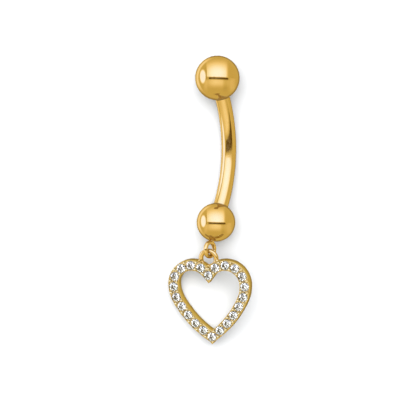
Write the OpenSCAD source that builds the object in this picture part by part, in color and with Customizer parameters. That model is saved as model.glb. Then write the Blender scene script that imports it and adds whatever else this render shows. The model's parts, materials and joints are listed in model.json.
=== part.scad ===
// Curved navel barbell in yellow gold with a stone set open heart, lying on a flat surface.
// Millimetres. +Z is up from the surface, +Y runs from the heart towards the top ball.
// The origin is under the middle of the whole thing, on the surface.

/* [Barbell] */
// Straight distance between the two balls, which is the length that is worn
wear_l = 10.06; // [8:0.02:14]
// Diameter of the bar
bar_d = 1.45; // [1.35:0.05:1.8]
// Angle that each end of the bar leans back from the middle
bar_lean = 22; // [19:0.5:30]
// Diameter of the top ball
top_ball_d = 4.36; // [3.6:0.02:5.6]
// Diameter of the lower ball, which carries the heart
drop_ball_d = 3.78; // [3.4:0.02:5]
// Diameter of the screw pin at each end of the bar
pin_d = 1.05; // [0.8:0.05:1.15]
// Length of the screw pin in the top ball
top_pin_l = 2.2; // [1.4:0.1:2.6]
// Length of the screw pin in the lower ball
drop_pin_l = 1.8; // [1:0.1:2]
// Depth that the bar's shoulder is sunk into each ball
shoulder_sink = 0.15; // [0.05:0.05:0.4]
// Angle that the barbell is turned on the surface
barbell_turn = 0.85; // [0:0.05:5]

/* [Ring on the lower ball] */
// Diameter of the ring, outside
ring_od = 1.8; // [1.76:0.02:2]
// Thickness of the ring's wire
ring_wire = 0.42; // [0.3:0.02:0.44]
// Depth that the ring is let into the ball where it is soldered
ring_sink = 0.03; // [0.01:0.01:0.12]
// Angle round the ball between the bar's line and the ring
ring_off = 4.5; // [0:0.5:8]
// Angle that the ring is turned out of the plane of the bar's bend
ring_turn = 5; // [0:1:8]

/* [Heart] */
// Distance between the middles of the two lobes
lobe_spacing = 3.4; // [3.1:0.02:3.5]
// Radius of a lobe, along the row of stones
lobe_r = 1.94; // [1.85:0.01:2.1]
// Radius of the shoulder below a lobe
shoulder_r = 3.3; // [3:0.1:4]
// Radius of the long side down to the tip
side_r = 9.9; // [9:0.1:12]
// Angle from straight across at which the shoulder runs into the long side
shoulder_end = -27.5; // [-29:0.5:-25]
// Width of the face that holds the stones
face_w = 1.04; // [1.02:0.01:1.14]
// Depth of the heart from its face to its back
heart_depth = 1; // [0.8:0.05:1.6]
// Extra length of the pointed tip
tip_point = 0.12; // [0:0.02:0.3]
// Depth of the inner point below the middle of the cleft stone
cleft_point = 0.775; // [0.75:0.01:0.95]
// Angle that the heart's right side is raised
heart_roll = 18; // [12:0.5:20]
// Angle that the heart is turned on the surface
heart_turn = 3.5; // [0:0.1:6]

/* [Stones] */
// Stones on each side, besides the one in the cleft and the one at the tip
side_stones = 10; // [9:1:10]
// Diameter of a stone
stone_d = 0.88; // [0.7:0.01:0.9]
// Depth of the stones' edge below the face
stone_sink = 0.04; // [0.02:0.01:0.1]
// Diameter of the open hole behind each stone
back_hole_d = 0.42; // [0.3:0.02:0.5]
// Diameter of a bead that holds the stones
bead_d = 0.28; // [0.2:0.01:0.3]
// Distance from each bead to the edge of the face
bead_inset = 0.01; // [0:0.01:0.04]

/* [Bail] */
// Width of the bail's opening
bail_open_w = 1.08; // [1:0.02:1.14]
// Height of the bail's opening
bail_open_h = 1.06; // [1.02:0.02:1.2]
// Thickness of the bail's wire at its arch
bail_wire = 0.48; // [0.36:0.02:0.5]
// Thickness of the bail's legs at their feet
bail_foot_d = 0.6; // [0.5:0.02:0.64]
// Length of each leg of the bail
bail_leg_l = 0.7; // [0.6:0.05:0.9]
// Distance that each foot of the bail is spread
bail_spread = 0.36; // [0.1:0.02:0.4]
// Gap between the bail and the ring that it hangs in, in their shared plane
hang_gap = 0.08; // [0.07:0.01:0.2]

/* [Clearances] */
// Gap round the screw pins and round the bar where it enters a ball
screw_gap = 0.03; // [0.02:0.01:0.04]
// Gap under the bar's shoulders
shoulder_gap = 0.02; // [0.01:0.01:0.05]
// Empty length of hole past the end of each screw pin
pin_end_gap = 0.2; // [0.1:0.05:0.3]
// Gap round each stone in its seat
seat_gap = 0.015; // [0.01:0.005:0.02]
// Gap between the bar and the surface at mid length
rest_gap = 0.01; // [0:0.01:0.03]

/* [Hidden] */
SMOOTH = 96;
// Length that joined solids run into each other, and that a cut runs past what it cuts
joined = 0.1;
past = 1;
GOLD = [0.86, 0.68, 0.30];
CLEAR = [0.93, 0.95, 0.97];

bar_r = bar_d / 2;
top_r = top_ball_d / 2;
drop_r = drop_ball_d / 2;
ball_span = wear_l + top_r + drop_r;

// The bar in its own frame: its middle at the origin, bulging to +X, its upper end at +Y.
// The bend is one arc, and its ends point at the middles of the balls.
bend_r = (ball_span - (top_r + drop_r) * cos(bar_lean)) / (2 * sin(bar_lean));
bend_rise = bend_r * (1 - cos(bar_lean));
bend_run = bend_r * sin(bar_lean);
top_rise = bend_rise + top_r * sin(bar_lean);
top_run = bend_run + top_r * cos(bar_lean);
drop_rise = bend_rise + drop_r * sin(bar_lean);
drop_run = bend_run + drop_r * cos(bar_lean);
// Angle that the bend runs on into each ball before it is cut square
bend_over = 3;

// How the barbell lies: both balls and the bulging middle of the bar touch the surface.
bar_mid_z = bar_r + rest_gap;
lie = top_run * drop_rise + drop_run * top_rise;
end_lift = asin(((top_r - bar_mid_z) * drop_rise - (drop_r - bar_mid_z) * top_rise) / lie);
bulge_fall = ((top_r - bar_mid_z) * drop_run + (drop_r - bar_mid_z) * top_run) / lie;
bar_tilt = asin(bulge_fall / cos(end_lift));

function turned_x(v, a) = [v.x, v.y * cos(a) - v.z * sin(a), v.y * sin(a) + v.z * cos(a)];
function turned_y(v, a) = [v.x * cos(a) + v.z * sin(a), v.y, v.z * cos(a) - v.x * sin(a)];
function turned_z(v, a) = [v.x * cos(a) - v.y * sin(a), v.x * sin(a) + v.y * cos(a), v.z];
function laid(v) = turned_z(turned_x(turned_y(v, bar_tilt), end_lift), -barbell_turn) + [0, 0, bar_mid_z];

// The ring is nearly in the plane of the bar's bend, and nearly in line with the bar's lower end.
ring_r = (ring_od - ring_wire) / 2;
ring_reach = drop_r + ring_od / 2 - ring_sink;
// Solder between the ring and the ball: a cone from the ring's middle line into the ball
solder_l = 2 * ring_wire;
solder_d = 3 * ring_wire;
drop_ball_at = [-drop_rise, -drop_run, 0];
ring_lean = bar_lean - ring_off;
ring_at = drop_ball_at + ring_reach * [-sin(ring_lean), -cos(ring_lean), 0];

// The heart in its own frame: face at Z 0, tip towards -Y, X from lobe to lobe.
// Its row of stones follows three arcs on each side: lobe, shoulder and long side.
// Each arc ends at an angle from straight across.
lobe_end = 2;
function aim(a) = [cos(a), sin(a)];
lobe_at = [lobe_spacing / 2, 0];
shoulder_at = lobe_at + (lobe_r - shoulder_r) * aim(lobe_end);
side_at = shoulder_at + (shoulder_r - side_r) * aim(shoulder_end);
function cleft_angle(out) = 180 - acos(lobe_at.x / (lobe_r + out));
function tip_angle(out) = -acos(-side_at.x / (side_r + out));

// Most that one flat of an arc covers, in degrees for a radius of 1 mm
ARC_FLAT = 9;
function arc(at, r, a, b) =
    let (n = ceil(r * abs(b - a) / ARC_FLAT) + 4)
    [for (i = [0:n]) at + r * aim(a + (b - a) * i / n)];
function flank(out, from, to) = concat(
    arc(lobe_at, lobe_r + out, from, lobe_end),
    arc(shoulder_at, shoulder_r + out, lobe_end, shoulder_end),
    arc(side_at, side_r + out, shoulder_end, to));
function mirrored(points) = [for (i = [len(points) - 1:-1:0]) [-points[i].x, points[i].y]];
function inner_part(points) = [for (i = [1:len(points) - 2]) points[i]];

half_face = face_w / 2;
outer_tip = [0, side_at.y + (side_r + half_face) * sin(tip_angle(half_face)) - tip_point];
outer_flank = flank(half_face, cleft_angle(half_face), tip_angle(half_face));
notch = outer_flank[0];
outer_line = concat([notch], inner_part(outer_flank), [outer_tip], mirrored(inner_part(outer_flank)));

cleft_stone_y = lobe_r * sin(cleft_angle(0));
inner_point = [0, cleft_stone_y - cleft_point];
inner_lobe_r = lobe_r - half_face;
from_lobe = inner_point - lobe_at;
inner_start = atan2(from_lobe.y, from_lobe.x) - acos(inner_lobe_r / norm(from_lobe));
inner_flank = flank(-half_face, inner_start, tip_angle(-half_face));
inner_open = [for (i = [0:len(inner_flank) - 2]) inner_flank[i]];
inner_bottom = inner_flank[len(inner_flank) - 1];
inner_line = concat([inner_point], inner_open, [inner_bottom], mirrored(inner_open));

// Length along the row of stones, and the place and outward angle at a length from the cleft
lobe_run = lobe_r * (cleft_angle(0) - lobe_end) * PI / 180;
shoulder_run = shoulder_r * (lobe_end - shoulder_end) * PI / 180;
side_run = side_r * (shoulder_end - tip_angle(0)) * PI / 180;
row_run = lobe_run + shoulder_run + side_run;
function degrees(run, r) = run / r * 180 / PI;
function row_angle(run) =
    run < lobe_run ? cleft_angle(0) - degrees(run, lobe_r) :
    run < lobe_run + shoulder_run ? lobe_end - degrees(run - lobe_run, shoulder_r) :
    shoulder_end - degrees(run - lobe_run - shoulder_run, side_r);
function row_place(run, out) =
    run < lobe_run ? lobe_at + (lobe_r + out) * aim(row_angle(run)) :
    run < lobe_run + shoulder_run ? shoulder_at + (shoulder_r + out) * aim(row_angle(run)) :
    side_at + (side_r + out) * aim(row_angle(run));

stone_pitch = row_run / (side_stones + 1);
stone_count = 2 * side_stones + 2;
// Stone 1 sits in the cleft. The numbers run down the right side, past the tip and up the left side.
function stone_run(i) = i <= side_stones + 2 ? (i - 1) * stone_pitch : (stone_count + 1 - i) * stone_pitch;
function stone_side(i) = i <= side_stones + 2 ? 1 : -1;
function stone_place(i) = let (at = row_place(stone_run(i), 0)) [stone_side(i) * at.x, at.y, -stone_sink];

// Bail: an arch over the notch, standing at mid depth
saddle_sink = 0.03;
arch_r = (bail_open_w + bail_wire) / 2;
saddle_y = notch.y - saddle_sink;
saddle_top = saddle_y + bail_wire / 2;
arch_y = saddle_top + bail_open_h - bail_open_w / 2;
arch_top_y = arch_y + arch_r;
mid_depth = heart_depth / 2;

// How the heart lies: its back edge touches the surface low on the left,
// and its bail hangs in the ring, so the pitch is found from the ring's height.
// The middle of the bail's arch hangs below the middle of the ring, and to its left.
hang = ring_r - (ring_wire + bail_wire) / 2 - hang_gap;
hang_side = 0.17;
bail_target = laid(ring_at) + [-hang_side, -hang, 0];
function fall(v, pitch) = v.x * sin(heart_roll) * cos(pitch) + v.y * sin(pitch);
function face_height(pitch) =
    heart_depth * cos(heart_roll) * cos(pitch) - min([for (v = outer_line) fall(v, pitch)]);
function bail_height(pitch) =
    face_height(pitch) + arch_top_y * sin(pitch) - mid_depth * cos(heart_roll) * cos(pitch);
function found_pitch(low, high, steps) =
    let (mid = (low + high) / 2)
    steps == 0 ? mid :
    bail_height(mid) < bail_target.z ? found_pitch(mid, high, steps - 1) : found_pitch(low, mid, steps - 1);
heart_pitch = found_pitch(0, 45, 24);
function leaned(v) = turned_z(turned_x(turned_y(v, -heart_roll), heart_pitch), heart_turn);
heart_at = bail_target - leaned([0, arch_top_y, -mid_depth]);

// The middle of the whole thing, seen from above
heart_corners = [for (v = outer_line, z = [0, -heart_depth]) heart_at + leaned([v.x, v.y, z])];
top_ball_at = laid([-top_rise, top_run, 0]);
heart_x = [for (v = heart_corners) v.x];
most_right = max(concat(heart_x, [top_ball_at.x + top_r, laid([0, 0, 0]).x + bar_r]));
most_left = min(concat(heart_x, [top_ball_at.x - top_r, laid(drop_ball_at).x - drop_r]));
most_up = top_ball_at.y + top_r;
most_down = min([for (v = heart_corners) v.y]);
middle = [(most_right + most_left) / 2, (most_up + most_down) / 2, 0];

function stone_name(i) = str("stone_", i < 10 ? "0" : "", i);

module barbell_place() {
    translate(-middle)
        rotate([0, 0, -barbell_turn])
            translate([0, 0, bar_mid_z])
                rotate([end_lift, 0, 0])
                    rotate([0, bar_tilt, 0])
                        children();
}

module heart_place() {
    translate(heart_at - middle)
        rotate([0, 0, heart_turn])
            rotate([heart_pitch, 0, 0])
                rotate([0, -heart_roll, 0])
                    children();
}

// The upper or lower end of the bend, with +Y straight out along the bar
module bar_end(upper) {
    translate([-bend_rise, upper ? bend_run : -bend_run, 0])
        rotate([0, 0, upper ? bar_lean : 180 - bar_lean])
            children();
}

module rod(from, to, d) {
    translate([0, from, 0])
        rotate([-90, 0, 0])
            cylinder(h = to - from, d = d, $fn = SMOOTH);
}

// Length from the end of the bend to the floor of the recess that takes the bar's shoulder
function recess_floor(ball_r) =
    ball_r - sqrt(ball_r * ball_r - (bar_r + screw_gap) * (bar_r + screw_gap)) + shoulder_sink;

function shoulder(ball_r) = recess_floor(ball_r) - shoulder_gap;

module ball_hole(ball_r, pin_l) {
    rod(-past, recess_floor(ball_r), bar_d + 2 * screw_gap);
    rod(-past, recess_floor(ball_r) + pin_l + pin_end_gap, pin_d + 2 * screw_gap);
}

module ball(ball_r, pin_l) {
    difference() {
        translate([0, ball_r, 0])
            sphere(r = ball_r, $fn = SMOOTH);
        ball_hole(ball_r, pin_l);
    }
}

// The bend runs on into each ball and is cut square there, at its shoulder
module bend() {
    difference() {
        translate([-bend_r, 0, 0])
            rotate([0, 0, -bar_lean - bend_over])
                rotate_extrude(angle = 2 * (bar_lean + bend_over), $fn = SMOOTH)
                    translate([bend_r, 0])
                        circle(d = bar_d, $fn = SMOOTH);
        bar_end(true)
            rod(shoulder(top_r), shoulder(top_r) + past, 2 * bar_d);
        bar_end(false)
            rod(shoulder(drop_r), shoulder(drop_r) + past, 2 * bar_d);
    }
}

module bar() {
    color(GOLD)
        barbell_place() {
            bend();
            bar_end(true)
                rod(shoulder(top_r) - joined, shoulder(top_r) + top_pin_l, pin_d);
            bar_end(false)
                rod(shoulder(drop_r) - joined, shoulder(drop_r) + drop_pin_l, pin_d);
        }
}

module top_ball() {
    color(GOLD)
        barbell_place()
            bar_end(true)
                ball(top_r, top_pin_l);
}

module ring() {
    rotate_extrude($fn = SMOOTH)
        translate([ring_r, 0])
            circle(d = ring_wire, $fn = SMOOTH);
    translate([0, -ring_r - solder_l, 0])
        rotate([-90, 0, 0])
            cylinder(h = solder_l, d1 = solder_d, d2 = ring_wire, $fn = SMOOTH);
}

module drop_ball() {
    color(GOLD)
        barbell_place()
            bar_end(false) {
                ball(drop_r, drop_pin_l);
                translate([0, drop_r, 0])
                    rotate([0, -ring_turn, ring_off])
                        translate([0, ring_reach, 0])
                            ring();
            }
}

// Straight round the stone's edge, then a cone, then an open hole out of the back
module seat() {
    seat_r = stone_d / 2 + seat_gap;
    back_r = back_hole_d / 2;
    floor_z = -GIRDLE_H * stone_d - seat_gap;
    cone_h = 2 * (seat_r - back_r) * PAVILION_H;
    rotate_extrude($fn = SMOOTH)
        polygon([
            [0, past],
            [seat_r, past],
            [seat_r, floor_z],
            [back_r, floor_z - cone_h],
            [back_r, -heart_depth - past],
            [0, -heart_depth - past]]);
}

// Two beads between each stone and the next, one at each edge of the face
module beads() {
    edge = half_face - bead_d / 2 - bead_inset;
    for (side = [-1, 1], gap = [0.5:side_stones + 0.5], out = [-edge, edge]) {
        at = row_place(gap * stone_pitch, out);
        translate([side * at.x, at.y, 0])
            sphere(d = bead_d, $fn = SMOOTH);
    }
}

module bail() {
    translate([0, 0, -mid_depth]) {
        translate([0, arch_y, 0])
            rotate_extrude(angle = 180, $fn = SMOOTH)
                translate([arch_r, 0])
                    circle(d = bail_wire, $fn = SMOOTH);
        for (side = [-1, 1])
            translate([side * arch_r, arch_y, 0])
                rotate([90, 0, side * asin(bail_spread / bail_leg_l)])
                    cylinder(h = bail_leg_l, d1 = bail_wire, d2 = bail_foot_d, $fn = SMOOTH);
        translate([0, saddle_y, 0])
            rotate([0, 0, 90])
                rod(-arch_r, arch_r, bail_wire);
    }
}

module heart_frame() {
    color(GOLD)
        heart_place()
            difference() {
                union() {
                    translate([0, 0, -heart_depth])
                        linear_extrude(heart_depth)
                            difference() {
                                polygon(outer_line);
                                polygon(inner_line);
                            }
                    beads();
                    bail();
                }
                for (i = [1:stone_count])
                    translate(stone_place(i))
                        seat();
            }
}

// Shares of a stone's diameter: round brilliant with an eight sided table
TABLE_W = 0.56;
CROWN_H = 0.15;
GIRDLE_H = 0.03;
PAVILION_H = 0.43;

// Levels of the cut: share of the diameter, share of the height, number of corners, turn
CUT = [
    // width, height, corners, turn
    [TABLE_W, CROWN_H, 8, 0],
    [0.80, 0.55 * CROWN_H, 8, 22.5],
    [1, 0, 16, 0],
    [1, -GIRDLE_H, 16, 0],
    [0.34, -GIRDLE_H - 0.66 * PAVILION_H, 8, 22.5]];
function cut_ring(level) =
    [for (i = [0:level[2] - 1])
        let (a = level[3] + i * 360 / level[2])
        stone_d * [level[0] / 2 * cos(a), level[0] / 2 * sin(a), level[1]]];
CUT_POINTS = concat(
    cut_ring(CUT[0]),
    cut_ring(CUT[1]),
    cut_ring(CUT[2]),
    cut_ring(CUT[3]),
    cut_ring(CUT[4]),
    [stone_d * [0, 0, -GIRDLE_H - PAVILION_H]]);

// First point of each level in the list above
TABLE = 0;
STAR = 8;
RIM = 16;
BELT = 32;
BELLY = 48;
CULET = 56;
function eighth(i) = i % 8;
function sixteenth(i) = (i + 16) % 16;
CUT_FACES = concat(
    [[for (i = [7:-1:0]) TABLE + i]],
    [for (i = [0:7]) [TABLE + i, TABLE + eighth(i + 1), STAR + i]],
    [for (i = [0:7]) [STAR + i, TABLE + eighth(i + 1), RIM + sixteenth(2 * i + 2)]],
    [for (i = [0:7]) [STAR + i, RIM + sixteenth(2 * i), TABLE + i]],
    [for (i = [0:7]) [STAR + i, RIM + sixteenth(2 * i + 1), RIM + 2 * i]],
    [for (i = [0:7]) [STAR + i, RIM + sixteenth(2 * i + 2), RIM + 2 * i + 1]],
    [for (i = [0:15]) [RIM + i, RIM + sixteenth(i + 1), BELT + sixteenth(i + 1), BELT + i]],
    [for (i = [0:7]) [BELLY + i, BELT + 2 * i, BELT + 2 * i + 1]],
    [for (i = [0:7]) [BELLY + i, BELT + 2 * i + 1, BELT + sixteenth(2 * i + 2)]],
    [for (i = [0:7]) [BELLY + i, BELT + sixteenth(2 * i + 2), BELLY + eighth(i + 1)]],
    [for (i = [0:7]) [BELLY + i, BELLY + eighth(i + 1), CULET]]);

module stone(i) {
    color(CLEAR)
        heart_place()
            translate(stone_place(i))
                rotate([0, 0, stone_side(i) * row_angle(stone_run(i))])
                    polyhedron(CUT_POINTS, CUT_FACES);
}

bar();
top_ball();
drop_ball();
heart_frame();
for (i = [1:stone_count])
    stone(i);
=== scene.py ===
"""Curved navel barbell in polished yellow gold with a stone set open heart, lying on a white surface.

The pieces are modelled in millimetres in the frames of the bar, its ends, the ring and the heart,
and are then placed in metres where the solid model has them.
"""

import json
import math
from types import SimpleNamespace

import bmesh
import bpy
from bpy.props import FloatProperty, FloatVectorProperty, IntProperty, PointerProperty
from mathutils import Matrix, Vector


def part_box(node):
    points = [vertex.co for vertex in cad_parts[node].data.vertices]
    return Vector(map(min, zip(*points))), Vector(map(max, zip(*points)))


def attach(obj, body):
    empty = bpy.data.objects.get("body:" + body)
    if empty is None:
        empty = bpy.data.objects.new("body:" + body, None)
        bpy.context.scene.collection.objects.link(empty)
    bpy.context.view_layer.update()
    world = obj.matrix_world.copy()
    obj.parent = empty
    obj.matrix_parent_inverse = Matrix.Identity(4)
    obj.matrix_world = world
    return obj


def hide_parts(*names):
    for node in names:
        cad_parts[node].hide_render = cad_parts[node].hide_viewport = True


bl_info = {
    "name": "Navel ring with heart drop",
    "version": (1, 0, 0),
    "blender": (4, 5, 0),
    "location": "3D View > Sidebar > Navel ring",
    "description": "Builds a gold navel barbell with a stone set heart around its solid model",
    "category": "Add Mesh",
}

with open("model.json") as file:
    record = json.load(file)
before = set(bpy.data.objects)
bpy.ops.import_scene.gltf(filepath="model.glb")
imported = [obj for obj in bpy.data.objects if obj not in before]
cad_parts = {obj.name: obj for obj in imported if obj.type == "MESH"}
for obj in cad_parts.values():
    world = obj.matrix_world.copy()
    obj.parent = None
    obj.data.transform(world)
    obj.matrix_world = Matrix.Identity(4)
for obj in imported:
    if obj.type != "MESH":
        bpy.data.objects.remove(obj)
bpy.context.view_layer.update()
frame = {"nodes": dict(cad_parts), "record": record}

MM = 0.001
STONES = sorted(n for n in frame["nodes"] if n.startswith("stone_"))
# Places along the row from the stone in the cleft to one that lies far out on its side
FAR_OUT = 6
# Heights closer than this, in millimetres, count as the same
SAME = 1e-5


# Places that the solid model gives


def columns(x, y, z, origin):
    """A frame with these axes at this origin."""
    m = Matrix((x, y, z)).transposed().to_4x4()
    m.translation = origin
    return m


def stone_middle(name):
    """Middle of a stone's corner points, which lies on its own axis."""
    corners = {tuple(round(c, 8) for c in v.co) for v in frame["nodes"][name].data.vertices}
    return sum((Vector(c) for c in corners), Vector()) / len(corners)


def barbell_frame():
    """Origin in the bar's middle, +Y along it to the top ball, +X the way it bulges."""
    mount = frame["record"]["mounts"][0]
    middle = Vector(mount["pos_m"])
    along = Vector(mount["axis"]).normalized()
    low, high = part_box("top_ball")
    to_ball = (low + high) / 2 - middle
    bulge = (along * to_ball.dot(along) - to_ball).normalized()
    return columns(bulge, along, bulge.cross(along), middle)


def heart_frame(cleft_stone_y, crown_rise):
    """+X from lobe to lobe, +Y from the tip to the cleft, face at Z 0."""
    cleft, tip = stone_middle(STONES[0]), stone_middle(STONES[len(STONES) // 2])
    right, left = stone_middle(STONES[FAR_OUT]), stone_middle(STONES[-FAR_OUT])
    x = (right - left).normalized()
    y = (cleft - tip).normalized()
    z = x.cross(y).normalized()
    table = max(v.co.dot(z) for v in frame["nodes"][STONES[0]].data.vertices)
    origin = cleft - y * cleft_stone_y * MM
    return columns(x, y, z, origin + z * (table - crown_rise * MM - origin.dot(z)))


def turn(radians, axis):
    return Matrix.Rotation(radians, 4, axis)


def move(x, y, z):
    return Matrix.Translation((x, y, z))


# Sizes that a user would change


def length(name, text, millimetres):
    return FloatProperty(
        name=name, description=text, default=millimetres * MM, min=0.0, unit="LENGTH", precision=5
    )


def angle(name, text, degrees):
    return FloatProperty(name=name, description=text, default=math.radians(degrees), subtype="ANGLE")


def colour(name, text, rgb):
    return FloatVectorProperty(
        name=name, description=text, default=rgb, subtype="COLOR", size=3, min=0.0, max=1.0
    )


class BarbellSizes(bpy.types.PropertyGroup):
    """Bar and balls"""

    wear_l: length("Worn length", "Straight distance between the two balls", 10.06)
    bar_d: length("Bar", "Diameter of the bar", 1.45)
    bar_lean: angle("Lean", "Angle that each end of the bar leans back from the middle", 22)
    top_ball_d: length("Top ball", "Diameter of the top ball", 4.36)
    drop_ball_d: length("Lower ball", "Diameter of the lower ball", 3.78)
    pin_d: length("Pin", "Diameter of the screw pins", 1.05)
    top_pin_l: length("Top pin", "Length of the screw pin in the top ball", 2.2)
    drop_pin_l: length("Lower pin", "Length of the screw pin in the lower ball", 1.8)
    shoulder_sink: length("Recess", "Depth of the recess that takes the bar's shoulder", 0.15)
    screw_gap: length("Screw gap", "Gap round the pins and the bar's ends", 0.03)
    shoulder_gap: length("Shoulder gap", "Gap under the bar's shoulders", 0.02)
    pin_end_gap: length("Pin end gap", "Empty hole past the end of each pin", 0.2)
    # The seam is painted shade: a dark band of gold on the bar where it enters a ball, for the shadow
    # in the crevice.
    seam_w: length("Seam", "Width of the dull line on the bar where it enters a ball", 0.05)
    thread_pitch: length("Thread pitch", "Distance from one turn of the thread to the next", 0.25)
    thread_depth: length("Thread depth", "Depth of the thread", 0.09)


class RingSizes(bpy.types.PropertyGroup):
    """Soldered ring"""

    ring_od: length("Ring", "Outside diameter of the ring", 1.8)
    ring_wire: length("Wire", "Thickness of the ring's wire", 0.42)
    ring_sink: length("Sink", "Depth that the ring is let into the ball", 0.03)
    ring_off: angle("Offset", "Angle round the ball between the bar's line and the ring", 4.5)
    ring_turn: angle("Turn", "Angle that the ring is turned out of the bend's plane", 5)


class HeartSizes(bpy.types.PropertyGroup):
    """Open heart"""

    lobe_spacing: length("Lobe spacing", "Distance between the middles of the lobes", 3.4)
    lobe_r: length("Lobe radius", "Radius of a lobe along the stones", 1.94)
    shoulder_r: length("Shoulder radius", "Radius of the shoulder below a lobe", 3.3)
    side_r: length("Side radius", "Radius of the long side", 9.9)
    lobe_end: angle("Lobe end", "Where the lobe runs into the shoulder", 2)
    shoulder_end: angle("Shoulder end", "Where the shoulder runs into the long side", -27.5)
    face_w: length("Face", "Width of the face that holds the stones", 1.04)
    heart_depth: length("Depth", "Depth from the face to the back", 1.0)
    tip_point: length("Tip", "Extra length of the pointed tip", 0.12)
    cleft_point: length("Cleft point", "Depth of the inner point below the cleft stone", 0.775)
    edge_round: length("Edge", "Rounding of the face's edges", 0.05)
    back_round: length("Back edge", "Rounding of the back's edges", 0.09)
    border_w: length("Border", "Flat width of the raised border on each side of the stones", 0.01)
    channel_h: length("Channel", "Depth of the channel between the borders", 0.1)
    bead_d: length("Bead", "Diameter of a bead", 0.28)
    bead_inset: length("Bead inset", "Distance from a bead to the edge of the face", 0.04)
    bead_rise: length("Bead rise", "Height of a bead's middle above the face", 0.08)
    pit_d: length("Pit", "Diameter of the cut between each stone and the next", 0.24)
    pit_h: length("Pit depth", "Depth of the cut between each stone and the next", 0.3)


class StoneSizes(bpy.types.PropertyGroup):
    """Stones and their seats"""

    side_stones: IntProperty(
        name="Stones a side", description="Stones besides the cleft's and the tip's", default=10, min=1
    )
    stone_d: length("Stone", "Diameter of a stone", 0.88)
    stone_sink: length("Sink", "Depth of a stone's edge below the face", 0.04)
    seat_gap: length("Seat gap", "Gap round a stone", 0.015)
    back_hole_d: length("Back hole", "Diameter of the open hole behind a stone", 0.42)
    crown_share: FloatProperty(
        name="Crown", description="Crown height as a share of the diameter", default=0.15
    )
    girdle_share: FloatProperty(
        name="Girdle", description="Girdle height as a share of the diameter", default=0.03
    )
    pavilion_share: FloatProperty(
        name="Pavilion", description="Pavilion depth as a share of the diameter", default=0.43
    )


class BailSizes(bpy.types.PropertyGroup):
    """Bail"""

    open_w: length("Opening width", "Width of the bail's opening", 1.08)
    open_h: length("Opening height", "Height of the bail's opening", 1.06)
    wire: length("Wire", "Thickness of the bail at its arch", 0.48)
    foot_d: length("Foot", "Thickness of the bail's feet", 0.6)
    leg_l: length("Leg", "Length of each leg", 0.7)
    spread: length("Spread", "Distance that each foot is spread", 0.36)
    saddle_sink: length("Saddle sink", "Depth of the saddle in the cleft", 0.03)


class Finishes(bpy.types.PropertyGroup):
    """Finishes and picture"""

    polished: colour("Gold", "Colour of the polished gold", (0.93, 0.73, 0.34))
    polished_deep: colour("Deep gold", "Colour of its darker streaks", (0.90, 0.69, 0.31))
    cast: colour("Cast gold", "Colour of the heart's cast gold", (0.94, 0.79, 0.36))
    cast_deep: colour("Deep cast gold", "Colour of its darker streaks", (0.90, 0.73, 0.30))
    # Painted highlights and shade: this pale greyish gold and its darker streaks stand for the blurred
    # highlights and the shade in the channel and the seats, not for gold's own colour. Only their
    # greater roughness is that of unpolished gold.
    recess: colour("Recess", "Colour of the unpolished gold round the stones", (0.88, 0.77, 0.50))
    recess_deep: colour("Deep recess", "Colour of its darker streaks", (0.60, 0.48, 0.25))
    # Painted shade and highlights: this pale greyish gold and its darker streaks stand for the shade
    # and the blurred highlights in the cuts between the stones, not for gold's own colour. The cuts
    # themselves are real.
    pit: colour("Pit", "Colour of the gold in the cuts between the stones", (0.84, 0.78, 0.66))
    pit_deep: colour("Deep pit", "Colour of its darker streaks", (0.62, 0.56, 0.44))
    # Painted shade: this dark gold and its darker streaks stand for the shadow in the crevice where the
    # bar enters a ball.
    dull: colour("Dull gold", "Colour of the dull line where the bar enters a ball", (0.36, 0.24, 0.08))
    dull_deep: colour("Deep dull gold", "Colour of its darker streaks", (0.22, 0.14, 0.04))
    # Painted highlights: the beads' pale, nearly white gold stands for the highlights on them, not for
    # a finish of their own.
    bright: colour("Bead", "Colour of the bright cut beads", (1.0, 0.94, 0.62))
    bright_deep: colour("Deep bead", "Colour of their darker streaks", (1.0, 0.90, 0.54))
    stone: colour("Stone", "Colour of the stones", (1.0, 1.0, 1.0))
    stone_deep: colour("Deep stone", "Tint of the stones in places", (0.90, 0.97, 0.95))
    floor: colour("Surface", "Colour of the surface below", (0.74, 0.74, 0.74))
    photo_scale: FloatProperty(
        name="Scale", description="Pixels of the picture for each millimetre", default=10.22
    )


GROUPS = {
    "navel_barbell": BarbellSizes,
    "navel_ring": RingSizes,
    "navel_heart": HeartSizes,
    "navel_stones": StoneSizes,
    "navel_bail": BailSizes,
    "navel_finish": Finishes,
}


def sizes(context):
    """All sizes by name, lengths in millimetres and angles in radians."""
    found = SimpleNamespace()
    for group in GROUPS:
        values = getattr(context.scene, group)
        for key in values.__annotations__:
            value = getattr(values, key)
            if values.bl_rna.properties[key].unit == "LENGTH":
                value = value / MM
            setattr(found, key, value)
    return found


# Modelling by hand, in millimetres round the origin

# Faces round a turned piece, round the bar and round a wire
TURNED_SIDES, BAR_SIDES, WIRE_SIDES = 48, 72, 32
# Steps along the bar's bend and along a ring
BEND_STEPS, RING_STEPS = 72, 96
# Faces round a ball and from pole to pole, and the same for a bead
BALL_SIDES, BALL_RINGS = 128, 96
BEAD_SIDES, BEAD_RINGS = 20, 12
# Edges that turn by more than this many degrees stay sharp
SHARP = 30


def deselect():
    bpy.ops.object.select_all(action="DESELECT")


def choose(obj):
    deselect()
    obj.select_set(True)
    bpy.context.view_layer.objects.active = obj


def edit(obj):
    choose(obj)
    bpy.ops.object.mode_set(mode="EDIT")


def leave():
    bpy.ops.object.mode_set(mode="OBJECT")


def made(name):
    """Names the primitive that was just added and puts its place in its mesh."""
    obj = bpy.context.object
    obj.name = obj.data.name = name
    bpy.ops.object.transform_apply(location=True, rotation=True, scale=True)
    return obj


def pick_edges(obj, test):
    bpy.ops.mesh.select_mode(type="EDGE")
    bpy.ops.mesh.select_all(action="DESELECT")
    shape = bmesh.from_edit_mesh(obj.data)
    for e in shape.edges:
        if test(e):
            e.select = True
    shape.select_flush_mode()
    bmesh.update_edit_mesh(obj.data)


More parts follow.
